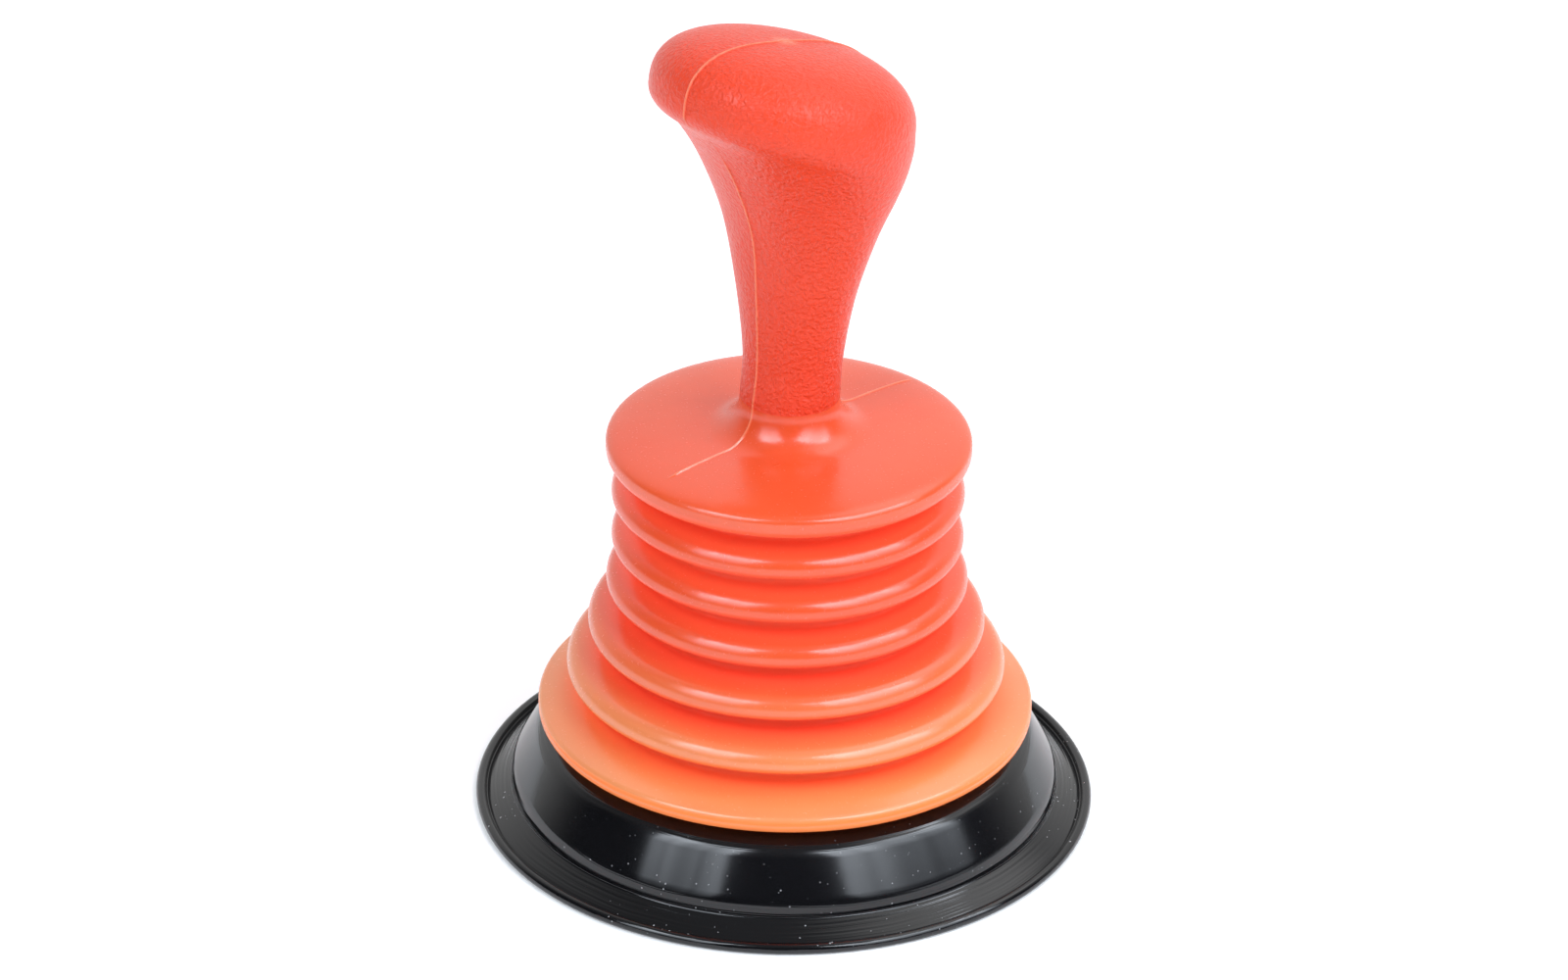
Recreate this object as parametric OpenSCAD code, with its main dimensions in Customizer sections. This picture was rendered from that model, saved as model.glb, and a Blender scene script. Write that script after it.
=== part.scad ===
// Bellows toilet plunger. A blow-moulded polyethylene body, which is a hand grip, a top
// plate and a folded bellows in one, is snapped into a black rubber cup.
// Millimetres, +Z up. The origin is the middle of the cup's rim, on the floor, and the
// grip's nose points to -Y.

/* [Rubber cup] */
// Outer radius of the cup at its rim
rim_r = 90; // [86:1:94]
// Radius of the rolled bead around the rim
rim_bead = 1.6; // [1.2:0.1:2]
// Radius of the crease where the flat skirt turns up into the dome
crease_r = 79.7; // [78:0.1:81]
// Height of that crease
crease_z = 6; // [5:0.5:7]
// Radius of the dome's shoulder, where its steep side would meet its flat top
dome_r = 69.9; // [69:0.1:70]
// Height of that shoulder
dome_z = 25.7; // [25:0.1:25.8]
// Thickness of the rubber in the dome
rubber_wall = 2.6; // [2:0.1:3]

/* [Bellows] */
// Outer radius of each fold's crest, from the lowest fold to the highest
crest_r = [71.6, 63.3, 57.1, 51.9, 50.4, 50.4];
// Height of the lowest crest
crest_z = 31; // [30:0.5:33]
// Height from one crest to the next
pitch = 13.8; // [13:0.1:15]
// Radius of the round bead along a crest
crest_bead = 2.7; // [2.2:0.1:3]
// Height of the upright band along the lowest crest
band = 5; // [4.4:0.1:5.2]
// Radius of the bend at the foot of a valley
valley_bend = 1.6; // [1.2:0.1:2]
// How far a valley lies inside the crest above it
fold_depth = 7.5; // [6:0.5:9]
// Thickness of the folded wall
bellows_wall = 1.3; // [1:0.1:1.6]
// Outer radius of the neck that the cup grips
neck_r = 41; // [40:0.5:42]

/* [Top plate] */
// Outer radius of the plate
plate_r = 52.1; // [51:0.1:54]
// Height of the plate's widest line above the highest crest
plate_lift = 14.4; // [14:0.1:15]
// Radius of the roll under the plate's edge
plate_roll = 3.6; // [3:0.1:4]
// Rise of the plate's crowned face above its widest line
plate_crown = 6; // [5:0.5:7]
// Radius of the fillet at the foot of the grip
foot_fillet = 10; // [8:1:12]

/* [Grip] */
// Radius of the grip where it leaves its fillet
foot_r = 14.2; // [13:0.1:15]
// Thickness of the grip's wall
grip_wall = 2; // [1.5:0.1:2.5]
// Height of the dome over the palm
palm_dome = 18.8; // [17:0.1:20]

/* [Hidden] */
folds = len(crest_r);
arc_steps = 12;
round_steps = 160;

// Centres of the crest beads and of the valley bends, in the (radius, height) plane. Valley 0
// is the sharp edge of the shoulder that sits on the cup.
shoulder_r = neck_r + 6;
shoulder_z = 24.6;
plate_z = crest_z + (folds - 1) * pitch + plate_lift;
plate_edge = [plate_r - plate_roll, plate_z];

// The lowest crest is an upright band with two tight beads, the others are one round bead.
band_bead = 1.7;
function bead(k) = k == 1 ? band_bead : crest_bead;
function crest(k) = [crest_r[k - 1] - bead(k), crest_z + (k - 1) * pitch];
function beside(k) = [0, k == 1 ? band / 2 - band_bead : 0];
function crest_low(k) = crest(k) - beside(k);
function crest_high(k) = crest(k) + beside(k);
function above(k) = k < folds ? crest_r[k] : crest_r[folds - 1];
// A valley lies a little above the middle between its two crests.
valley_share = 0.55;
function valley(k) = k == 0 ? [shoulder_r, shoulder_z]
    : [above(k) - fold_depth + valley_bend, crest(k)[1] + pitch * valley_share];
function bend(k) = k == 0 ? 0 : valley_bend;

function ray(angle) = [cos(angle), sin(angle)];
function arc(centre, r, from, to, steps = arc_steps) =
    [for (i = [0 : steps]) centre + r * ray(from + (to - from) * i / steps)];

// Direction in which the straight wall between a bead and a bend faces outwards. The wall is
// their inner tangent, side is 1 for a bend above the bead and -1 for one below it.
function wall_facing(bead_at, bead_r, bend_at, bend_r, side) =
    let (d = bend_at - bead_at)
    atan2(d[1], d[0]) - side * acos((bead_r + bend_r) / norm(d));

function facing_up(k) = wall_facing(crest_high(k), bead(k), valley(k), bend(k), 1);
function facing_down(k) = k > folds
    ? wall_facing(plate_edge, plate_roll, valley(folds), bend(folds), -1)
    : wall_facing(crest_low(k), bead(k), valley(k - 1), bend(k - 1), -1);
function edge_at(k) = k > folds ? plate_edge : crest_low(k);
function edge_r(k) = k > folds ? plate_roll : bead(k);

module turned(outline) {
    rotate_extrude($fn = round_steps) polygon(outline);
}

// The cup: rolled rim bead, groove, flat flexible skirt, crease, a dome with a steep conical
// side and a nearly flat top, and a thick collar whose bore grips the bellows' neck.
// Where the side's cone would meet the upright over the crease
side_z = 9.4;
side_round = 12;
shoulder_round = 8.5;
// The dome's top falls a little from the shoulder to the collar.
top_z = 23.1;
collar_r = 46.4;
collar_top = 24.5;
collar_foot = 16.5;
collar_bore = neck_r + 0.1;
// What is taken off the sharp edges of the collar and the groove
collar_chamfer = 0.8;
// The groove behind the rim bead, and where the skirt starts beyond it
bead_end = 145;
groove_r = rim_r - 3.1;
groove_z = 1.5;
skirt_z = 2.1;
// Inside of the skirt: it meets the floor at seat_r and the dome's inside at bend_r
seat_r = crease_r + 4.5;
bend_r = crease_r - 1.7;
bend_z = 3.9;

function unit(v) = v / norm(v);
function angle_of(v) = atan2(v[1], v[0]);
// The arc that rounds the corner b between a and c.
function rounded(a, b, c, r, steps = arc_steps) =
    let (back = unit(a - b), on = unit(c - b), half = acos(back * on) / 2,
         centre = b + unit(back + on) * r / sin(half), reach = r / tan(half),
         from = angle_of(b + back * reach - centre), to = angle_of(b + on * reach - centre))
    arc(centre, r, from, to, steps);
// The corner b moved in by the wall, where the lines to a and c lie when they are moved in.
function moved_in(a, b, c, wall) =
    let (back = unit(b - a), on = unit(c - b),
         first = [-back[1], back[0]], second = [-on[1], on[0]])
    b + (first + second) * wall / (1 + first * second);

module rubber_cup() {
    bead_at = [rim_r - rim_bead, rim_bead];
    crease = [crease_r, crease_z];
    side = [crease_r, side_z];
    brow = [dome_r, dome_z];
    inner_side = moved_in(crease, side, brow, rubber_wall);
    top = [collar_r, top_z];
    inner_brow = moved_in(side, brow, top, rubber_wall);
    inner_crease = [crease_r - rubber_wall, crease_z];
    inner_top = [collar_r, top_z - rubber_wall];
    outline = concat(
        arc(bead_at, rim_bead, -90, bead_end),
        [[groove_r, groove_z], [groove_r - collar_chamfer, skirt_z], crease],
        rounded(crease, side, brow, side_round, 6),
        rounded(side, brow, top, shoulder_round),
        [top, [collar_r, collar_top], [collar_bore, collar_top],
         [collar_bore, collar_foot], [collar_r - collar_chamfer, collar_foot], inner_top],
        rounded(inner_top, inner_brow, inner_side, shoulder_round - rubber_wall, 6),
        rounded(inner_brow, inner_side, inner_crease, side_round - rubber_wall, 6),
        [[bend_r, bend_z], [seat_r, 0]]
    );
    color([0.06, 0.06, 0.065]) turned(outline);
}

// The open foot of the moulding: a barbed lip inside the cup, the neck in the cup's collar
// and the shoulder that sits on top of the collar.
neck_wall = 1.8;
// The lip slopes out from its foot to the barb, which bears on the collar from below.
lip_foot = 11.6;
lip_foot_r = neck_r + 0.4;
barb_r = neck_r + 3.8;
barb_z = 14.6;
barb_top = collar_foot - 0.2;
shoulder_wall = 1.5;

module bellows_base() {
    inner_r = neck_r - neck_wall;
    face = facing_down(1);
    outline = [
        [inner_r, lip_foot], [lip_foot_r, lip_foot], [barb_r, barb_z], [barb_r, barb_top],
        [neck_r, barb_top], [neck_r, shoulder_z], valley(0), valley(0) - bellows_wall * ray(face),
        [inner_r, shoulder_z + shoulder_wall]
    ];
    color([0.95, 0.45, 0.27]) turned(outline);
}

// A crest: the stiff bead, or the lowest fold's band, along the outside of fold k.
module crest_ring(k) {
    r = bead(k);
    outer = k > 1 ? arc(crest(k), r, facing_down(k), facing_up(k))
        : concat(arc(crest_low(k), r, facing_down(k), 0), arc(crest_high(k), r, 0, facing_up(k)));
    thin = r - bellows_wall;
    inner = k > 1 ? arc(crest(k), thin, facing_up(k), facing_down(k))
        : concat(arc(crest_high(k), thin, facing_up(k), 0, 3), arc(crest_low(k), thin, 0, facing_down(k), 3));
    color([0.95, 0.42, 0.25]) turned(concat(outer, inner));
}

// The lowest wall: a shallow cone from the shoulder out to the first crest.
module lowest_web() {
    out = ray(facing_down(1));
    outline = [
        valley(0), crest_low(1) + bead(1) * out,
        crest_low(1) + (bead(1) - bellows_wall) * out, valley(0) - bellows_wall * out
    ];
    color([0.93, 0.3, 0.2]) turned(outline);
}

// The thin wall from crest k through a valley to the crest, or the plate's edge, above it.
module web(k) {
    low = ray(facing_up(k));
    high = ray(facing_down(k + 1));
    in_valley = [facing_up(k) + 180, facing_down(k + 1) + 180];
    outline = concat(
        [crest_high(k) + (bead(k) - bellows_wall) * low, crest_high(k) + bead(k) * low],
        arc(valley(k), bend(k), in_valley[0], in_valley[1]),
        [edge_at(k + 1) + edge_r(k + 1) * high,
         edge_at(k + 1) + (edge_r(k + 1) - bellows_wall) * high],
        arc(valley(k), bend(k) + bellows_wall, in_valley[1], in_valley[0])
    );
    color([0.93, 0.3, 0.2]) turned(outline);
}

// The top plate: rolled edge, crowned face and the fillet that runs up into the grip.
plate_wall = 2;
fillet_r = foot_r + foot_fillet;

// Exponent of the crowned face: 2 is an ellipse, more is flatter with a tighter edge.
crown_power = 4;

function crown_at(r, rise, at) =
    plate_z + rise * pow(1 - pow(at / r, crown_power), 1 / crown_power);
foot_z = crown_at(plate_r, plate_crown, fillet_r) + foot_fillet;

// Points of a crowned face from its rim to the fillet, both ends left out.
function crowned(r, rise) = let (last = acos(pow(fillet_r / r, crown_power / 2)))
    [for (i = [1 : arc_steps - 1]) let (at = r * pow(cos(last * i / arc_steps), 2 / crown_power))
        [at, crown_at(r, rise, at)]];
function backwards(list) = [for (i = [len(list) - 1 : -1 : 0]) list[i]];

module top_plate() {
    face = facing_down(folds + 1);
    outer = concat(
        arc(plate_edge, plate_roll, face, 0),
        crowned(plate_r, plate_crown),
        arc([fillet_r, foot_z], foot_fillet, 270, 180)
    );
    inner = concat(
        arc([fillet_r, foot_z], foot_fillet + plate_wall, 180, 270),
        backwards(crowned(plate_r - plate_wall, plate_crown - plate_wall)),
        arc(plate_edge, plate_roll - plate_wall, 0, face)
    );
    color([0.94, 0.4, 0.28]) turned(concat(outer, inner));
}

// The grip: a hollow loft. Each station is an oval, level at the foot and tilted up towards
// the nose at the palm: [height on the axis, tilt, reach to the front, reach to the back,
// half width]. The last one is the grip's widest line, and the dome stands on it.
stations = [
    [foot_z, 0, foot_r, foot_r, foot_r],
    [143.8, 0, 12.6, 14.5, 15.1],
    [164, 0.01, 13.2, 16.1, 19.5],
    [183.6, 0.06, 15.1, 19.5, 26.1],
    [198.4, 0.21, 22, 24.7, 31.8],
    [207, 0.31, 30.1, 27.9, 35.1],
    [213.6, 0.27, 38.4, 30.9, 37.1],
    [219.2, 0.24, 40.6, 31.5, 37.7]
];
spans = len(stations) - 1;
span_rings = 4;
dome_rings = 9;
around = 56;
nose_shift = 3.6;
// Exponents of the dome's superellipse: 2 is round, more is fuller at the edge.
dome_side = 2.8;
dome_top = 2.4;

// A smooth curve through b and c that heads for its neighbours a and d.
function spline(a, b, c, d, t) = b + 0.5 * (c - a) * t
    + (a - 2.5 * b + 2 * c - 0.5 * d) * t * t + 0.5 * (3 * b - a - 3 * c + d) * t * t * t;
// Past the last station the ovals draw in again, so the loft meets the dome upright.
function mirrored(end, before) =
    [2 * end[0] - before[0], 2 * end[1] - before[1], before[2], before[3], before[4]];
function station(i) = i < 0 ? 2 * stations[0] - stations[1]
    : i > spans ? mirrored(stations[spans], stations[spans - 1]) : stations[i];
function section(i, t) = spline(station(i - 1), station(i), station(i + 1), station(i + 2), t);

// One oval of the loft. Inset is the wall, size shrinks the oval and lift raises it off its
// own plane, for the dome.
function oval(s, inset, size = 1, shift = 0, lift = 0) =
    let (front = s[2] - inset, back = s[3] - inset, slope = atan(s[1]))
    [for (i = [0 : around - 1])
        let (a = 360 * i / around,
             ahead = (front - back) / 2 + (front + back) / 2 * cos(a) * size + shift)
        [(s[4] - inset) * sin(a) * size,
         -ahead + lift * sin(slope),
         s[0] + s[1] * ahead + lift * cos(slope)]];

function after(i) = (i + 1) % around;
function skin(inset) = concat(
    [for (i = [0 : spans - 1], j = [0 : span_rings - 1]) oval(section(i, j / span_rings), inset)],
    [for (j = [0 : dome_rings - 1]) let (a = 90 * j / dome_rings)
        oval(stations[spans], inset, pow(cos(a), 2 / dome_side), nose_shift * sin(a),
             (palm_dome - inset) * pow(sin(a), 2 / dome_top))]
);
function crown_point(inset) =
    oval(stations[spans], inset, 0, nose_shift, palm_dome - inset)[0];

module grip() {
    outside = skin(0);
    inside = skin(grip_wall);
    rings = len(outside);
    count = rings * around;
    flat_out = [for (ring = outside) for (p = ring) p];
    flat_in = [for (ring = inside) for (p = ring) p];
    points = concat(flat_out, [crown_point(0)], flat_in, [crown_point(grip_wall)]);
    start_in = count + 1;
    outer_faces = [for (r = [0 : rings - 2], i = [0 : around - 1])
        let (a = r * around + i, b = r * around + after(i))
        each [[a, a + around, b + around], [a, b + around, b]]];
    inner_faces = [for (f = outer_faces) [f[2], f[1], f[0]] + start_in * [1, 1, 1]];
    top = (rings - 1) * around;
    outer_top = [for (i = [0 : around - 1]) [top + i, count, top + after(i)]];
    inner_top = [for (f = outer_top) [f[2], f[1], f[0]] + start_in * [1, 1, 1]];
    foot = [for (i = [0 : around - 1])
        each [[i, after(i), after(i) + start_in], [i, after(i) + start_in, i + start_in]]];
    color([0.94, 0.39, 0.27])
        polyhedron(points, concat(outer_faces, outer_top, inner_faces, inner_top, foot), convexity = 8);
}

rubber_cup();
bellows_base();
lowest_web();  // web_0
for (k = [1 : folds]) web(k);
for (k = [1 : folds]) crest_ring(k);
top_plate();
grip();
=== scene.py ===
from math import acos, asin, atan, atan2, cos, exp, pi, radians, sin, tan

import bmesh
import bpy
from mathutils import Matrix, Vector


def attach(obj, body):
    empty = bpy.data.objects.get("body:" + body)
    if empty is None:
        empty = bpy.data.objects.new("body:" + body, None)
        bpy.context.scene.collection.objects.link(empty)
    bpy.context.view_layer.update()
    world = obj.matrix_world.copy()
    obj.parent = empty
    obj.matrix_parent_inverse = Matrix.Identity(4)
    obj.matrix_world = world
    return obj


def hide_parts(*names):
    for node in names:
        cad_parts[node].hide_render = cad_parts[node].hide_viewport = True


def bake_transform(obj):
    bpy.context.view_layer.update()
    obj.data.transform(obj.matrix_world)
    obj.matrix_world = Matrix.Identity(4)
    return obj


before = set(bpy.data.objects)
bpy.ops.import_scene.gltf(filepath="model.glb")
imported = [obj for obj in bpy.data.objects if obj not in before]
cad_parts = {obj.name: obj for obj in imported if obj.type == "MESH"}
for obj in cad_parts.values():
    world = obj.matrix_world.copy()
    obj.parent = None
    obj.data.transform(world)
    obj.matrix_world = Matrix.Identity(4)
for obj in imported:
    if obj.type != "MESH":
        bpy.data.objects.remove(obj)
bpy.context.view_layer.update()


# ---------------------------------------------------------------- rubber cup
# One compression-moulded piece of black rubber: a rolled bead round the rim, a flat skirt
# that seals on the bowl, a dome, and a thick collar that is stretched over the neck.

MM = 0.001
COLUMNS = 192
CORNER_STEPS = 10
CORE_R = 10
SHARP_EDGE = radians(34)


def add(tree, kind, inputs=None, **settings):
    """A node in a tree, with its settings and its inputs: values, or sockets to wire."""
    node = tree.nodes.new(kind)
    for name, value in settings.items():
        setattr(node, name, value)
    for key, value in (inputs or {}).items():
        if isinstance(value, bpy.types.NodeSocket):
            tree.links.new(value, node.inputs[key])
        else:
            node.inputs[key].default_value = value
    return node


def calc(tree, operation, *values, clamp=False):
    """The result socket of a Math node."""
    inputs = dict(enumerate(values))
    return add(tree, "ShaderNodeMath", inputs, operation=operation, use_clamp=clamp).outputs[0]


def turning_tree():
    """Geometry nodes that turn an outline about Z. The outline is a mesh loop that holds
    radius in X and height in Y, and its rounding attribute rounds each corner."""
    tree = bpy.data.node_groups.new("turned_shape", "GeometryNodeTree")
    sockets = {}
    for name, kind in (("Outline", "Geometry"), ("Columns", "Int"), ("Corner steps", "Int"),
                       ("Core radius", "Float"), ("Material", "Material")):
        made = tree.interface.new_socket(name, in_out="INPUT", socket_type="NodeSocket" + kind)
        sockets[name] = made.identifier
    tree.interface.new_socket("Shape", in_out="OUTPUT", socket_type="NodeSocketGeometry")
    given = add(tree, "NodeGroupInput").outputs
    place = add(tree, "ShaderNodeSeparateXYZ",
                {0: add(tree, "GeometryNodeInputPosition").outputs[0]}).outputs
    beside_core = calc(tree, "SUBTRACT", place["X"], given["Core radius"])
    downwards = calc(tree, "MULTIPLY", place["Y"], -1.0)
    stood = add(tree, "ShaderNodeCombineXYZ", {"X": beside_core, "Y": downwards})
    moved = add(tree, "GeometryNodeSetPosition",
                {"Geometry": given["Outline"], "Position": stood.outputs[0]})
    curve = add(tree, "GeometryNodeMeshToCurve", {"Mesh": moved.outputs[0]})
    rounding = add(tree, "GeometryNodeInputNamedAttribute", {"Name": "rounding"}, data_type="FLOAT")
    rounded = add(tree, "GeometryNodeFilletCurve",
                  {"Curve": curve.outputs[0], "Radius": rounding.outputs[0],
                   "Count": given["Corner steps"], "Limit Radius": True}, mode="POLY")
    circle = add(tree, "GeometryNodeCurvePrimitiveCircle",
                 {"Resolution": given["Columns"], "Radius": given["Core radius"]}, mode="RADIUS")
    swept = add(tree, "GeometryNodeCurveToMesh",
                {"Curve": circle.outputs[0], "Profile Curve": rounded.outputs[0]})
    real = add(tree, "GeometryNodeRealizeInstances", {"Geometry": swept.outputs[0]})
    coated = add(tree, "GeometryNodeSetMaterial",
                 {"Geometry": real.outputs[0], "Material": given["Material"]})
    add(tree, "NodeGroupOutput", {0: coated.outputs[0]})
    return tree, sockets


def settle(piece):
    """Turns the modifiers' result into the piece's own mesh, facing outwards and smooth."""
    depsgraph = bpy.context.evaluated_depsgraph_get()
    mesh = bpy.data.meshes.new_from_object(piece.evaluated_get(depsgraph))
    piece.modifiers.clear()
    piece.data = mesh
    shape = bmesh.new()
    shape.from_mesh(mesh)
    if shape.calc_volume(signed=True) < 0:
        bmesh.ops.reverse_faces(shape, faces=shape.faces)
        shape.to_mesh(mesh)
    shape.free()
    mesh.shade_smooth()
    mesh.set_sharp_from_angle(angle=SHARP_EDGE)
    return piece


turned_shape, turned_inputs = turning_tree()


def turn(name, corners, material):
    """A ring turned from a closed outline of (radius, height, rounding) in millimetres."""
    outline = bpy.data.meshes.new(name)
    count = len(corners)
    loop = [(i, (i + 1) % count) for i in range(count)]
    outline.from_pydata([(r * MM, z * MM, 0) for r, z, _ in corners], loop, [])
    rounding = outline.attributes.new("rounding", "FLOAT", "POINT")
    rounding.data.foreach_set("value", [corner[2] * MM for corner in corners])
    piece = bpy.data.objects.new(name, outline)
    bpy.context.scene.collection.objects.link(piece)
    lathe = piece.modifiers.new("lathe", "NODES")
    lathe.node_group = turned_shape
    for label, value in (("Columns", COLUMNS), ("Corner steps", CORNER_STEPS),
                         ("Core radius", CORE_R * MM), ("Material", material)):
        lathe[turned_inputs[label]] = value
    return settle(piece)


def shader_group(name, inputs, outputs):
    """An empty shader node group with named inputs, their usual values and its outputs."""
    tree = bpy.data.node_groups.new(name, "ShaderNodeTree")
    for label, value in inputs.items():
        socket = tree.interface.new_socket(label, in_out="INPUT", socket_type="NodeSocketFloat")
        socket.default_value = value
    for label in outputs:
        tree.interface.new_socket(label, in_out="OUTPUT", socket_type="NodeSocketFloat")
    given = add(tree, "NodeGroupInput").outputs
    here = add(tree, "ShaderNodeTexCoord").outputs["Object"]
    return tree, given, here


def place_group(tree, group, inputs):
    """Puts a shared shader group into a material and returns its outputs."""
    node = add(tree, "ShaderNodeGroup", node_tree=group)
    for label, value in inputs.items():
        node.inputs[label].default_value = value
    return node.outputs


def axis_distance(tree, here):
    """Distance from the pump's axis, in metres."""
    flat = add(tree, "ShaderNodeVectorMath", {0: here, 1: (1, 1, 0)}, operation="MULTIPLY")
    length = add(tree, "ShaderNodeVectorMath", {0: flat.outputs[0]}, operation="LENGTH")
    return length.outputs["Value"]


def ramp(tree, value, low, high, start=0.0, end=1.0):
    """Value from start to end as the input goes smoothly from low to high."""
    node = add(tree, "ShaderNodeMapRange",
               {"Value": value, "From Min": low, "From Max": high, "To Min": start, "To Max": end},
               interpolation_type="SMOOTHSTEP")
    return node.outputs["Result"]


# Fine rings left by the mould, which was turned on a lathe. They wander a little.
turning_marks, given, here = shader_group(
    "turning_marks", {"Rings per metre": 1600.0, "Wander": 0.15}, ["Height"])
across = axis_distance(turning_marks, here)
slow = add(turning_marks, "ShaderNodeTexNoise", {"Vector": here, "Scale": 18.0, "Detail": 2.0})
drift = calc(turning_marks, "MULTIPLY", slow.outputs["Fac"], given["Wander"])
upwards = add(turning_marks, "ShaderNodeSeparateXYZ", {0: here}).outputs["Z"]
depth = calc(turning_marks, "ADD", across, calc(turning_marks, "MULTIPLY", upwards, 0.6))
line = calc(turning_marks, "MULTIPLY_ADD", depth, given["Rings per metre"], drift)
rings = add(turning_marks, "ShaderNodeTexNoise", {"W": line, "Scale": 1.0, "Detail": 3.0,
                                                  "Roughness": 0.6}, noise_dimensions="1D")
add(turning_marks, "NodeGroupOutput", {0: rings.outputs["Fac"]})

# Small specks of dust or pigment, scattered with gaps between them.
specks, given, here = shader_group(
    "specks", {"Cells per metre": 300.0, "Size": 0.12, "Patches": 0.5}, ["Mask"])
cell = add(specks, "ShaderNodeTexVoronoi", {"Vector": here, "Scale": given["Cells per metre"]})
chance = add(specks, "ShaderNodeSeparateColor", {0: cell.outputs["Color"]}).outputs["Red"]
width = calc(specks, "MULTIPLY", given["Size"], calc(specks, "POWER", chance, 3.0))
spot = calc(specks, "LESS_THAN", cell.outputs["Distance"], width)
where = add(specks, "ShaderNodeTexNoise", {"Vector": here, "Scale": 30.0, "Detail": 1.0})
patch = calc(specks, "GREATER_THAN", where.outputs["Fac"], given["Patches"])
add(specks, "NodeGroupOutput", {0: calc(specks, "MULTIPLY", spot, patch)})

# Slow drift of tone or gloss over a surface.
drifting, given, here = shader_group(
    "drifting", {"Patches per metre": 30.0, "Contrast": 1.0}, ["Value", "Height"])
cloud = add(drifting, "ShaderNodeTexNoise", {"Vector": here, "Scale": given["Patches per metre"],
                                             "Detail": 3.0, "Roughness": 0.55})
centred = calc(drifting, "SUBTRACT", cloud.outputs["Fac"], 0.5)
spread = calc(drifting, "MULTIPLY_ADD", centred, given["Contrast"], 0.5, clamp=True)
add(drifting, "NodeGroupOutput", {0: spread, 1: cloud.outputs["Fac"]})


def new_material(name, base, roughness):
    """A material with its Principled shader, ready for more nodes."""
    material = bpy.data.materials.new(name)
    material.use_nodes = True
    tree = material.node_tree
    surface = tree.nodes["Principled BSDF"]
    surface.inputs["Base Color"].default_value = (*base, 1)
    surface.inputs["Roughness"].default_value = roughness
    return material, tree, surface


def mix_colour(tree, mask, first, second):
    """Colour between two, each a socket or a plain (red, green, blue)."""
    node = add(tree, "ShaderNodeMix", {"Factor": mask}, data_type="RGBA")
    for slot, value in ((6, first), (7, second)):
        if isinstance(value, bpy.types.NodeSocket):
            tree.links.new(value, node.inputs[slot])
        else:
            node.inputs[slot].default_value = (*value, 1)
    return node.outputs[2]


rubber, tree, surface = new_material("black_rubber", (0.005, 0.005, 0.006), 0.2)
surface.inputs["IOR"].default_value = 1.52
here = add(tree, "ShaderNodeTexCoord").outputs["Object"]
haze = place_group(tree, drifting, {"Patches per metre": 22.0, "Contrast": 1.6})
dust = place_group(tree, specks, {"Cells per metre": 640.0, "Size": 0.19, "Patches": 0.47})
marks = place_group(tree, turning_marks, {"Rings per metre": 1500.0, "Wander": 2.5})
bloom = mix_colour(tree, haze["Value"], (0.0022, 0.0023, 0.003), (0.0045, 0.0045, 0.0055))
mostly_skirt = ramp(tree, axis_distance(tree, here), 0.074, 0.080, 0.12, 0.75)
lint = calc(tree, "MULTIPLY", dust["Mask"], mostly_skirt)
tree.links.new(mix_colour(tree, lint, bloom, (0.42, 0.42, 0.43)), surface.inputs["Base Color"])
tree.links.new(ramp(tree, haze["Value"], 0.0, 1.0, 0.09, 0.15), surface.inputs["Roughness"])
bump = add(tree, "ShaderNodeBump",
           {"Height": marks["Height"], "Strength": 1.0, "Distance": 0.00009})
tree.links.new(bump.outputs[0], surface.inputs["Normal"])

RIM_R = 90.0
RIM_BEAD = 1.6
GROOVE_Z = 1.5
SKIRT_Z = 2.1
CREASE_R = 79.7
CREASE_Z = 6.0
CREASE_ROUND = 0.8
SIDE_Z = 9.4
SIDE_ROUND = 12
DOME_R = 69.9
DOME_Z = 25.7
SHOULDER_ROUND = 8.5
TOP_Z = 23.1
RUBBER_WALL = 2.6
COLLAR_R = 46.4
COLLAR_BORE = 41.1
COLLAR_TOP = 24.5
COLLAR_FOOT = 16.5


def inner_line(corners, wall):
    """The same line of corners, one wall's thickness further in."""
    result = []
    for i, (r, z, rounding) in enumerate(corners):
        before, after = corners[max(i - 1, 0)], corners[min(i + 1, len(corners) - 1)]
        into = Vector((r - before[0], z - before[1])) if i else None
        out = Vector((after[0] - r, after[1] - z)) if i < len(corners) - 1 else None
        into, out = into or out, out or into
        first = Vector((-into.y, into.x)).normalized()
        second = Vector((-out.y, out.x)).normalized()
        step = (first + second) * wall / (1 + first.dot(second))
        convex = into.x * out.y - into.y * out.x > 0
        inner = 0 if not rounding else rounding - wall if convex else rounding + wall
        result.append((r + step.x, z + step.y, inner))
    return result


bead_arc = [(RIM_R + RIM_BEAD * (cos(a) - 1), RIM_BEAD * (1 + sin(a)), 0)
            for a in map(radians, range(-90, 141, 10))]
dome = [(CREASE_R, CREASE_Z, 0), (CREASE_R, SIDE_Z, SIDE_ROUND),
        (DOME_R, DOME_Z, SHOULDER_ROUND), (COLLAR_R, TOP_Z, 0)]
lining = inner_line(dome, RUBBER_WALL)[::-1]
dome[0] = (CREASE_R, CREASE_Z, CREASE_ROUND)
cup = turn("rubber_cup_skin", [
    *bead_arc, (RIM_R - 3.1, GROOVE_Z, 0.25), (RIM_R - 3.9, SKIRT_Z, 0.3), *dome,
    (COLLAR_R, COLLAR_TOP, 0.4), (COLLAR_BORE, COLLAR_TOP, 0.4),
    (COLLAR_BORE, COLLAR_FOOT, 0.3), (COLLAR_R - 0.8, COLLAR_FOOT, 0.3),
    *lining, (CREASE_R - 1.7, SKIRT_Z + 1.8, 0.6), (CREASE_R + 4.5, 0, 0.3)], rubber)
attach(cup, "cup")
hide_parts("rubber_cup")


# ---------------------------------------------------------------- foot of the moulding
# The open end of the blow-moulded polyethylene body. A barbed lip snaps through the cup's
# collar, the neck fills it, and a shoulder sits on top of it.


PALER_FROM = 0.049
PALER_TO = 0.069
GRAIN_FROM = 0.1285


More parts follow.
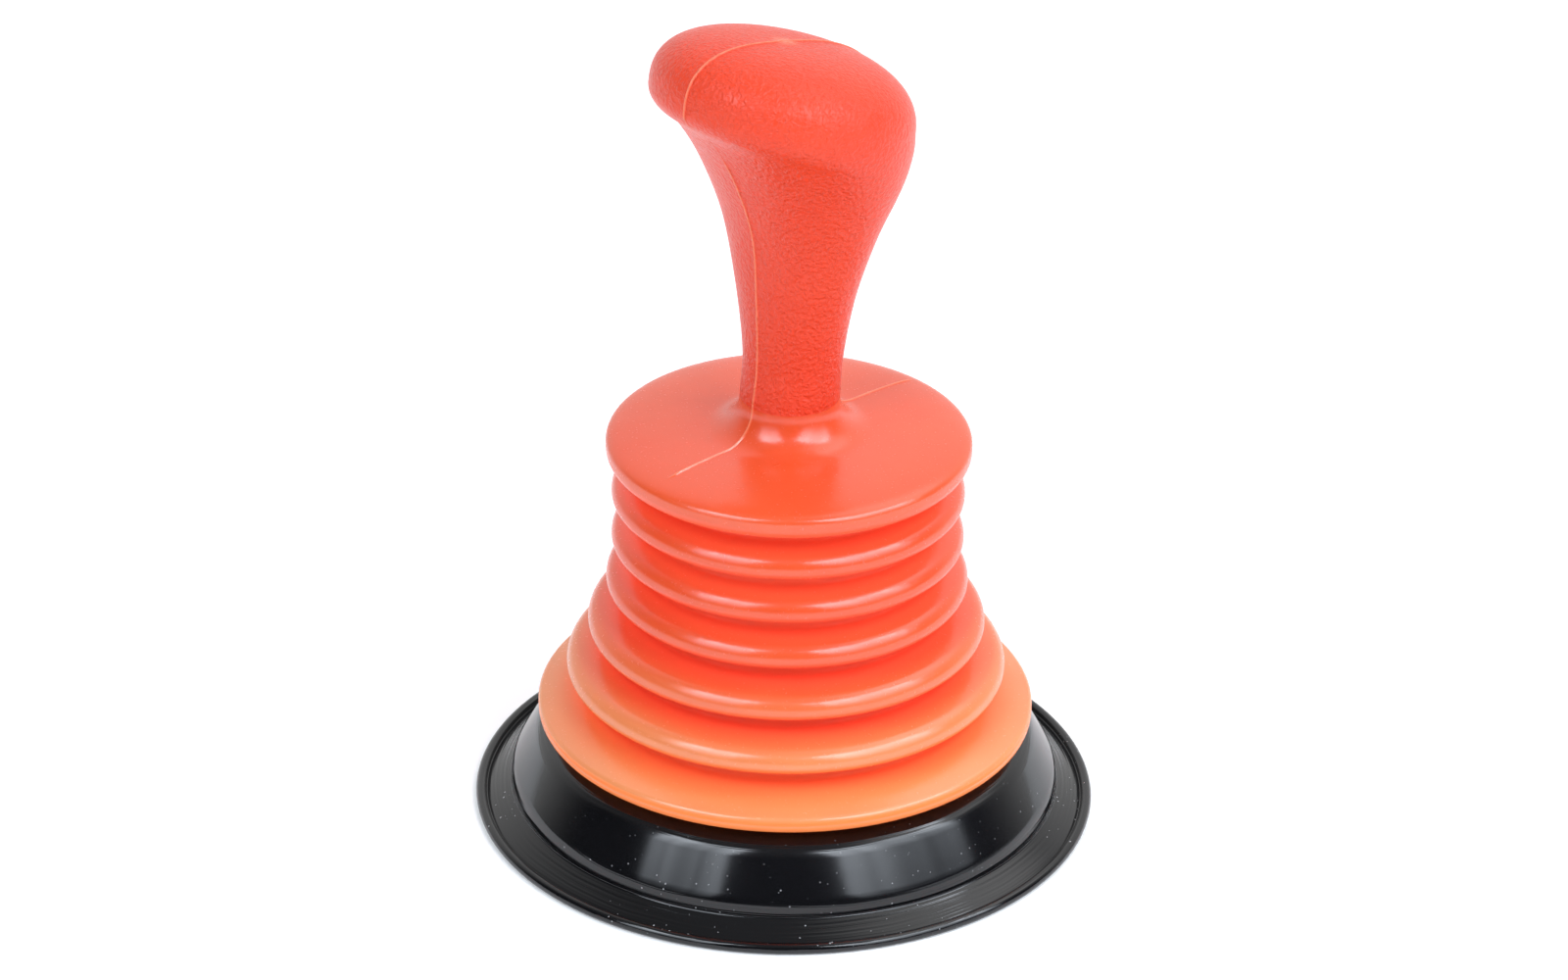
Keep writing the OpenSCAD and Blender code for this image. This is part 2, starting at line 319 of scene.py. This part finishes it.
def polyethylene(name, grained):
    """Orange polyethylene, a little translucent. The colour is paler further from the axis. Deep in
    the folds, on walls that face down and on the lowest crest's band it turns to a painted shade of
    saturated red, which stands in for shadow and for light glowing through the plastic, and the
    shine fades there. The grip's mould was spark-eroded to a fine pebbled grain."""
    material, tree, surface = new_material(name, (0.86, 0.12, 0.055), 0.36)
    surface.inputs["IOR"].default_value = 1.5
    here = add(tree, "ShaderNodeTexCoord").outputs["Object"]
    tone = place_group(tree, drifting, {"Patches per metre": 34.0, "Contrast": 1.5})
    gloss = place_group(tree, drifting, {"Patches per metre": 1100.0, "Contrast": 1.6})
    waves = place_group(tree, drifting, {"Patches per metre": 70.0, "Contrast": 1.0})
    pits = place_group(tree, specks, {"Cells per metre": 70.0, "Size": 0.03, "Patches": 0.6})
    # The colour turns paler further from the axis.
    outward_share = ramp(tree, axis_distance(tree, here), PALER_FROM, PALER_TO)
    if grained:
        near_axis_colour = mix_colour(tree, tone["Value"], (0.71, 0.040, 0.011), (0.73, 0.053, 0.015))
    else:
        near_axis_colour = mix_colour(tree, tone["Value"], (0.71, 0.068, 0.019), (0.73, 0.088, 0.025))
    pale = mix_colour(tree, tone["Value"], (0.74, 0.225, 0.080), (0.76, 0.27, 0.10))
    colour = mix_colour(tree, outward_share, near_axis_colour, pale)
    # fold_depth holds painted shade: it darkens and saturates the colour and dims the shine deep in
    # the folds, under the crests and on the lowest band.
    depth = add(tree, "ShaderNodeAttribute", attribute_name="fold_depth").outputs["Fac"]
    shine = ramp(tree, depth, 0.0, 1.0, 0.38 if grained else 0.68, 0.08)
    tree.links.new(shine, surface.inputs["Specular IOR Level"])
    # Painted shade colour: a saturated red in place of shadow and of light glowing through the
    # plastic, paler further from the axis.
    fold_shade_colour = mix_colour(tree, outward_share, (0.97, 0.110, 0.050), (0.97, 0.230, 0.060))
    colour = mix_colour(tree, depth, colour, fold_shade_colour)
    # The parting line is painted paler: partly the whitened plastic of the flash line, partly a
    # painted highlight along the ridge.
    line = add(tree, "ShaderNodeAttribute", attribute_name="parting_line").outputs["Fac"]
    line_mask = calc(tree, "MULTIPLY", line, 0.55)
    colour = mix_colour(tree, line_mask, colour, (0.86, 0.30, 0.16))
    pit_mask = calc(tree, "MULTIPLY", pits["Mask"], 0.6)
    colour = mix_colour(tree, pit_mask, colour, (0.35, 0.04, 0.02))
    tree.links.new(colour, surface.inputs["Base Color"])
    wavy = add(tree, "ShaderNodeBump",
               {"Height": waves["Height"], "Strength": 1.0, "Distance": 0.0002})
    bumps = add(tree, "ShaderNodeBump", {"Height": gloss["Height"], "Strength": 1.0,
                                         "Distance": 0.000018, "Normal": wavy.outputs[0]})
    if grained:
        pebbles = place_group(tree, grain, {"Pebbles per metre": 780.0, "From height": GRAIN_FROM})
        bumps = add(tree, "ShaderNodeBump", {"Height": pebbles["Height"], "Strength": 1.0,
                                             "Distance": 0.00022, "Normal": bumps.outputs[0]})
    tree.links.new(bumps.outputs[0], surface.inputs["Normal"])
    base = 0.33 if grained else 0.22
    tree.links.new(ramp(tree, gloss["Value"], 0.0, 1.0, base - 0.05, base + 0.07),
                   surface.inputs["Roughness"])
    return material


# Pebbled grain: rounded lumps of mixed sizes that fade in over a short height.
grain, given, here = shader_group(
    "spark_grain", {"Pebbles per metre": 800.0, "From height": 0.128}, ["Height"])
lumps = add(grain, "ShaderNodeTexNoise", {"Vector": here, "Scale": given["Pebbles per metre"],
                                          "Detail": 2.0, "Roughness": 0.55})
rounded = ramp(grain, lumps.outputs["Fac"], 0.36, 0.66)
upwards = add(grain, "ShaderNodeSeparateXYZ", {0: here}).outputs["Z"]
above = calc(grain, "SUBTRACT", upwards, given["From height"])
shown = ramp(grain, above, -0.0012, 0.0022)
add(grain, "NodeGroupOutput", {0: calc(grain, "MULTIPLY", rounded, shown)})

smooth_skin = polyethylene("polyethylene_satin", False)
grained_skin = polyethylene("polyethylene_grained", True)

NECK_R = 41.0
NECK_BORE = 39.2
LIP_FOOT = 11.6
BARB_R = 44.8
BARB_TOP = 16.3
SHOULDER_R = 47.0
SHOULDER_Z = 24.6

foot = turn("bellows_foot", [
    (NECK_BORE, LIP_FOOT, 0.5), (NECK_R + 0.4, LIP_FOOT, 0.6),
    (BARB_R, BARB_TOP - 1.7, 0.5), (BARB_R, BARB_TOP, 0.4), (NECK_R, BARB_TOP, 0.3),
    (NECK_R, SHOULDER_Z, 0.3), (SHOULDER_R, SHOULDER_Z, 0.2),
    (SHOULDER_R - 0.4, SHOULDER_Z + 1.2, 0.2), (NECK_BORE, SHOULDER_Z + 1.5, 0.6)], smooth_skin)
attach(foot, "cup")
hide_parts("bellows_base")


# ---------------------------------------------------------------- bellows
# Six folds blown in one with the plate and the foot. Each piece here is the wall from one crest to
# the next.

CREST_R = (71.6, 63.3, 57.1, 51.9, 50.4, 50.4)
CREST_Z = 31.0
PITCH = 13.8
BEAD = 2.7
BROW = 4.6
BEND = 1.6
BELLOWS_WALL = 1.3
FOLD_DEPTH = 7.5
VALLEY_SHARE = 0.55
BAND = 5.0
BAND_BEAD = 1.7
PLATE_R = 52.1
PLATE_Z = CREST_Z + PITCH * 5 + 14.4
PLATE_ROLL = 3.6
CREST_MARGIN = 0.8
# Strength of the painted shade on walls that face down and on the lowest crest's upright band.
UNDERSIDE_SHADE = 1.8
BAND_SHADE = 1.3
FOLDS = len(CREST_R)

# (radius, height, half of the straight part, bead below it, rounder brow above it) of each
# outer edge, from the lowest crest, which is an upright band, up to the plate's rim.
edges = [(r, CREST_Z + PITCH * i, 0, BEAD, BROW) for i, r in enumerate(CREST_R)]
edges[0] = (CREST_R[0], CREST_Z, BAND / 2 - BAND_BEAD, BAND_BEAD, BAND_BEAD)
edges.append((PLATE_R, PLATE_Z, 0, PLATE_ROLL, PLATE_ROLL))


def facing(bead_at, bead, bend_at, bend, side):
    """Direction in which the wall between a bead and a bend faces outwards."""
    across, up = bend_at[0] - bead_at[0], bend_at[1] - bead_at[1]
    return atan2(up, across) - side * acos((bead + bend) / (across ** 2 + up ** 2) ** 0.5)


def edge_corner(edge, direction):
    """Where the wall with that direction would meet the upright through the edge."""
    r, z, beside, below, above = edge
    bead = above if direction > 0 else below
    return (r, z + (beside if direction > 0 else -beside) + bead * tan(direction / 2), bead)


def wall_between(k):
    """Outline of the wall below outer edge k: from the edge under it, or the shoulder."""
    high_r, high_z, high_half, high_bead, _ = edges[k]
    bead_at = (high_r - high_bead, high_z - high_half)
    if k == 0:
        down = facing(bead_at, high_bead, (SHOULDER_R, SHOULDER_Z), 0, -1)
        outer = [(SHOULDER_R, SHOULDER_Z, 0), edge_corner(edges[k], down), (high_r, high_z, 0)]
    else:
        low_r, low_z, low_half, _, low_brow = edges[k - 1]
        brow_at = (low_r - low_brow, low_z + low_half)
        valley = (CREST_R[min(k, FOLDS - 1)] - FOLD_DEPTH + BEND, low_z + PITCH * VALLEY_SHARE)
        up = facing(brow_at, low_brow, valley, BEND, 1)
        down = facing(bead_at, high_bead, valley, BEND, -1)
        first, second = Vector((cos(up), sin(up))), Vector((cos(down), sin(down)))
        corner = Vector(valley) - BEND * (first + second) / (1 + first.dot(second))
        outer = [(low_r, low_z, 0), edge_corner(edges[k - 1], up), (corner.x, corner.y, BEND),
                 edge_corner(edges[k], down), (high_r, high_z, 0)]
    return outer + inner_line(outer, BELLOWS_WALL)[::-1]


def mark_fold_shade(piece, low_r, high_r, low_z, high_z):
    """Stores painted shade for each point of the wall, for its colour: how far inside the crests
    the point lies, and painted shade on walls that face down and on the lowest crest's upright
    band, which count as deep too."""
    depth = piece.data.attributes.new("fold_depth", "FLOAT", "POINT")
    values = []
    for point in piece.data.vertices:
        way_up = min(max((point.co.z / MM - low_z) / (high_z - low_z), 0), 1)
        outside = low_r + (high_r - low_r) * way_up
        r = point.co.xy.length / MM
        inside = (outside - r - CREST_MARGIN) / FOLD_DEPTH
        # Painted shade on walls that face down and on the lowest crest's upright band, which catch
        # less light.
        under = -UNDERSIDE_SHADE * point.normal.z
        on_band = r > CREST_R[0] - 1
        upright = BAND_SHADE * (1 - 2 * abs(point.normal.z)) if on_band else 0
        values.append(min(max(inside, under, upright, 0), 1))
    depth.data.foreach_set("value", values)


for k in range(FOLDS + 1):
    name = "bellows_shoulder" if k == 0 else f"bellows_fold_{k}"
    fold = turn(name, wall_between(k), smooth_skin)
    low_r, low_z = edges[k - 1][:2] if k else (CREST_R[0], SHOULDER_Z)
    high_r, high_z = edges[k][:2]
    mark_fold_shade(fold, low_r, high_r, low_z, high_z)
    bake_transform(fold)
    if k:
        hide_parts(f"web_{k}", f"crest_{k}")
    else:
        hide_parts("web_0")


# ---------------------------------------------------------------- plate and grip
# The closed top of the same moulding. The plate's crowned face runs up a fillet into the
# hollow palm grip, and the two halves of the mould left a fine raised line in the plane X = 0.

PLATE_CROWN = 6.0
FOOT_FILLET = 10.0
FOOT_R = 14.2
FILLET_R = FOOT_R + FOOT_FILLET
GRIP_WALL = 2.0
PALM_DOME = 18.8
NOSE_SHIFT = 3.6
DOME_SIDE = 2.8
DOME_TOP = 2.4
DOME_RINGS = 30
CROWN_POWER = 4.0
# Height of the narrow ring beside each joint, which keeps the shading even across it.
LAND = 0.06
QUARTER = 44
BESIDE_LINE = (0, 0.16, 0.32, 0.5, 0.72, 1.05)
LINE_HEIGHT = 0.34
LINE_WIDTH = 0.36
LINE_END_FRONT = 46
LINE_END_BACK = 48.5
PLATE_LEVEL = 125
NOSE_LOW = 207
NOSE_HIGH = 229
NOSE_REACH = 25
CROWN_STEPS = 34
FILLET_STEPS = 16
STATION_STEPS = 10


def crown_at(r):
    """Height of the plate's crowned face at a radius."""
    return PLATE_Z + PLATE_CROWN * (1 - (r / PLATE_R) ** CROWN_POWER) ** (1 / CROWN_POWER)


FOOT_Z = crown_at(FILLET_R) + FOOT_FILLET
# (height on the axis, tilt, reach to the front, reach to the back, half width) of the grip's
# ovals, from its foot to the widest level of the palm knob.
STATIONS = (
    (FOOT_Z, 0, FOOT_R, FOOT_R, FOOT_R),
    (143.8, 0, 12.6, 14.5, 15.1),
    (164, 0.01, 13.2, 16.1, 19.5),
    (183.6, 0.06, 15.1, 19.5, 26.1),
    (198.4, 0.21, 22, 24.7, 31.8),
    (207, 0.31, 30.1, 27.9, 35.1),
    (213.6, 0.27, 38.4, 30.9, 37.1),
    (219.2, 0.24, 40.6, 31.5, 37.7),
)


def ring_angles(half):
    """Angles round an oval: close together beside the parting line, even between."""
    near = [min(asin(min(1, x / max(half, 1e-6))), pi / 2 * j / QUARTER)
            for j, x in enumerate(BESIDE_LINE)]
    rest = QUARTER + 1 - len(near)
    part = near + [near[-1] + (pi / 2 - near[-1]) * j / rest for j in range(1, rest)]
    half_turn = part + [pi / 2] + [pi - a for a in part[:0:-1]]
    return half_turn + [pi + a for a in half_turn]


def oval(station, size=1.0, shift=0.0, lift=0.0):
    """One level or tilted oval of the loft, in metres."""
    height, tilt, front, back, half = station
    slope = atan(tilt)
    points = []
    for a in ring_angles(half * size):
        ahead = (front - back) / 2 + (front + back) / 2 * cos(a) * size + shift
        points.append(Vector((half * sin(a) * size, -ahead + lift * sin(slope),
                              height + tilt * ahead + lift * cos(slope))) * MM)
    return points


def level(r, z):
    """One level circle of the loft, in metres."""
    return oval((z, 0, r, r, r))


def spline(a, b, c, d, t):
    """A smooth curve through b and c that heads for their neighbours a and d."""
    return tuple(q + 0.5 * (r - p) * t + (p - 2.5 * q + 2 * r - 0.5 * s) * t * t
                 + 0.5 * (3 * q - p - 3 * r + s) * t ** 3 for p, q, r, s in zip(a, b, c, d))


def parting_height(point):
    """Share of the parting line's full height at a point of the skin, from 0 to 1."""
    across, reach, height = (abs(c / MM) for c in point)
    share = exp(-(across / LINE_WIDTH) ** 4)
    if height < PLATE_LEVEL:
        end = LINE_END_BACK if point.y > 0 else LINE_END_FRONT
        share *= min(max((end - reach) / 3, 0), 1)
    if point.y < 0 and NOSE_LOW + 2 < height < NOSE_HIGH - 2 and reach > NOSE_REACH:
        worn = min((height - NOSE_LOW) / 4, (NOSE_HIGH - height) / 4, 1)
        share *= 1 - 0.75 * worn
    return share


def loft(name, rings, material, pole=None):
    """A shell through rings of points that raises the parting line and gets its wall."""
    around = len(rings[0])
    points = [p for ring in rings for p in ring]
    faces = []
    for row in range(len(rings) - 1):
        for i in range(around):
            j = (i + 1) % around
            a, b = row * around + i, row * around + j
            faces.append((a, b, b + around, a + around))
    if pole:
        points.append(pole)
        top = (len(rings) - 1) * around
        faces += [(top + i, top + (i + 1) % around, len(points) - 1) for i in range(around)]
    mesh = bpy.data.meshes.new(name)
    mesh.from_pydata(points, [], faces)
    piece = bpy.data.objects.new(name, mesh)
    bpy.context.scene.collection.objects.link(piece)
    normals = [v.normal.copy() for v in mesh.vertices]
    shares = [parting_height(v.co) for v in mesh.vertices]
    facing_out = sum(n.xy.dot(v.co.xy) for n, v in zip(normals, mesh.vertices)) > 0
    outwards = 1 if facing_out else -1
    for vertex, normal, share in zip(mesh.vertices, normals, shares):
        vertex.co += normal * outwards * share * LINE_HEIGHT * MM
    mesh.attributes.new("parting_line", "FLOAT", "POINT").data.foreach_set("value", shares)
    mesh.materials.append(material)
    if not facing_out:
        mesh.flip_normals()
    wall = piece.modifiers.new("wall", "SOLIDIFY")
    wall.thickness = GRIP_WALL * MM
    wall.offset = -1
    wall.use_even_offset = False
    return settle(piece)


crown_end = acos((FILLET_R / PLATE_R) ** (CROWN_POWER / 2))
crown_turns = [crown_end * (i / CROWN_STEPS) ** 1.4 for i in range(1, CROWN_STEPS)]
plate_rings = [level(PLATE_R, PLATE_Z), level(PLATE_R, PLATE_Z + LAND)]
for angle in crown_turns:
    r = PLATE_R * cos(angle) ** (2 / CROWN_POWER)
    if crown_at(r) > PLATE_Z + 2 * LAND:
        plate_rings.append(level(r, crown_at(r)))
for i in range(FILLET_STEPS + 1):
    a = radians(270 - 90 * i / FILLET_STEPS)
    plate_rings.append(level(FILLET_R + FOOT_FILLET * cos(a), FOOT_Z + FOOT_FILLET * sin(a)))
plate_rings.insert(-1, level(FOOT_R + 0.001, FOOT_Z - LAND))
plate = loft("top_plate_skin", plate_rings, smooth_skin)
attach(plate, "grip")
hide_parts("top_plate")

tip = STATIONS[-1]
before_tip = STATIONS[-2]
ahead_of = tuple(2 * a - b for a, b in zip(STATIONS[0], STATIONS[1]))
past = (2 * tip[0] - before_tip[0], 2 * tip[1] - before_tip[1], *before_tip[2:])
line_up = (ahead_of, *STATIONS, past)
grip_rings = [level(FOOT_R, FOOT_Z), level(FOOT_R, FOOT_Z + LAND)]
for i in range(len(STATIONS) - 1):
    for j in range(STATION_STEPS):
        if i or j:
            grip_rings.append(oval(spline(*line_up[i:i + 4], j / STATION_STEPS)))
for j in range(DOME_RINGS):
    a = pi / 2 * j / DOME_RINGS
    grip_rings.append(oval(tip, cos(a) ** (2 / DOME_SIDE), NOSE_SHIFT * sin(a),
                           PALM_DOME * sin(a) ** (2 / DOME_TOP)))
crown_point = oval(tip, 0, NOSE_SHIFT, PALM_DOME)[0]
grip = loft("grip_skin", grip_rings, grained_skin, crown_point)
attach(grip, "grip")
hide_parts("grip")


# ---------------------------------------------------------------- studio
# A plain white floor with a faint glow of its own, two softboxes in front to the left and
# right, a surround that is brighter behind the object, and a soft reflector high up on the
# right. The camera looks down at the object through a long lens.

CAMERA_TURN = radians(47)
CAMERA_BACK = 1.4025
CAMERA_UP = 0.8468
PITCH_DOWN = radians(28.05)
YAW = radians(-0.05)
ROLL = radians(0.863)
LENS = 128.1

forward = Vector((sin(YAW) * cos(PITCH_DOWN), cos(YAW) * cos(PITCH_DOWN), -sin(PITCH_DOWN)))
right = forward.cross(Vector((0, 0, 1))).normalized()
up = right.cross(forward)
right, up = cos(ROLL) * right + sin(ROLL) * up, cos(ROLL) * up - sin(ROLL) * right
turn_to_nose = Matrix.Rotation(CAMERA_TURN, 3, "Z")
aim = turn_to_nose @ Matrix((right, up, -forward)).transposed()
camera_data = bpy.data.cameras.new("camera")
camera_data.lens = LENS
camera_data.sensor_width = 36
camera = bpy.data.objects.new("camera", camera_data)
camera.matrix_world = (Matrix.Translation(turn_to_nose @ Vector((0, -CAMERA_BACK, CAMERA_UP)))
                       @ aim.to_4x4())
bpy.context.scene.collection.objects.link(camera)
bpy.context.scene.camera = camera


SOFTBOX_FALL = (0.1, 2.0)
SOFTBOX_COLOUR = (0.84, 0.91, 1.0)
AIM_HEIGHT = 0.1


def softbox(name, azimuth, elevation, distance, width, height, power):
    """A soft rectangular light that faces the object, its cloth brighter at the top and
    unevenly folded. Azimuth is to the camera's right."""
    light = bpy.data.lights.new(name, "AREA")
    light.shape = "RECTANGLE"
    light.size = width
    light.size_y = height
    light.energy = power
    light.color = SOFTBOX_COLOUR
    light.use_nodes = True
    tree = light.node_tree
    across = add(tree, "ShaderNodeSeparateXYZ",
                 {0: add(tree, "ShaderNodeNewGeometry").outputs["Parametric"]}).outputs
    fall = ramp(tree, across["Y"], 0.0, 1.0, *SOFTBOX_FALL)
    creases = add(tree, "ShaderNodeTexNoise", {"W": across["X"], "Scale": 5.0, "Detail": 1.0},
                  noise_dimensions="1D")
    cloth = ramp(tree, creases.outputs["Fac"], 0.3, 0.7, 0.6, 1.4)
    tree.links.new(calc(tree, "MULTIPLY", fall, cloth), tree.nodes["Emission"].inputs["Strength"])
    side, rise = radians(azimuth), radians(elevation)
    place = turn_to_nose @ Vector((sin(side) * cos(rise), -cos(side) * cos(rise), sin(rise)))
    lamp = bpy.data.objects.new(name, light)
    target = Vector((0, 0, AIM_HEIGHT))
    lamp.matrix_world = (Matrix.Translation(target + place * distance)
                         @ place.to_track_quat("Z", "Y").to_matrix().to_4x4())
    bpy.context.scene.collection.objects.link(lamp)


softbox("softbox_left", -43, 32, 3.0, 1.72, 2.9, 59)
softbox("softbox_right", 56, 32, 3.0, 2.95, 2.9, 100)

world = bpy.data.worlds.new("studio")
bpy.context.scene.world = world
world.use_nodes = True
sky = world.node_tree
sky.nodes.clear()
way = add(sky, "ShaderNodeTexCoord").outputs["Generated"]
behind = turn_to_nose @ Vector((0, 1, 0))
towards = add(sky, "ShaderNodeVectorMath", {0: way, 1: behind}, operation="DOT_PRODUCT")
backdrop = ramp(sky, towards.outputs["Value"], 0.0, 0.75, 0.03, 1.0)
overhead = ramp(sky, add(sky, "ShaderNodeSeparateXYZ", {0: way}).outputs["Z"], 0.5, 1.0, 0.0, 0.2)
reflector = turn_to_nose @ Vector((0.46, 0.22, 0.86))
near_it = add(sky, "ShaderNodeVectorMath", {0: way, 1: reflector}, operation="DOT_PRODUCT")
glow = ramp(sky, near_it.outputs["Value"], 0.86, 1.0, 0.0, 1.6)
surround = calc(sky, "ADD", calc(sky, "ADD", backdrop, overhead), glow)
seen = add(sky, "ShaderNodeLightPath").outputs["Is Camera Ray"]
strength = add(sky, "ShaderNodeMix", {0: seen, 2: surround, 3: 1.0}, data_type="FLOAT")
lit = add(sky, "ShaderNodeBackground", {"Color": (1, 1, 1, 1), "Strength": strength.outputs[0]})
add(sky, "ShaderNodeOutputWorld", {"Surface": lit.outputs[0]})

FLOOR_HALF = 6.0
floor_mesh = bpy.data.meshes.new("floor")
floor_mesh.from_pydata([(x * FLOOR_HALF, y * FLOOR_HALF, 0)
                        for x, y in ((-1, -1), (1, -1), (1, 1), (-1, 1))],
                       [], [(0, 1, 2, 3)])
floor = bpy.data.objects.new("floor", floor_mesh)
bpy.context.scene.collection.objects.link(floor)
paper, tree, surface = new_material("white_paper", (0.9, 0.9, 0.9), 0.9)
surface.inputs["Emission Color"].default_value = (1, 1, 1, 1)
surface.inputs["Emission Strength"].default_value = 0.15
floor_mesh.materials.append(paper)

bpy.context.scene.view_settings.view_transform = "Standard"
bpy.context.scene.view_settings.look = "None"
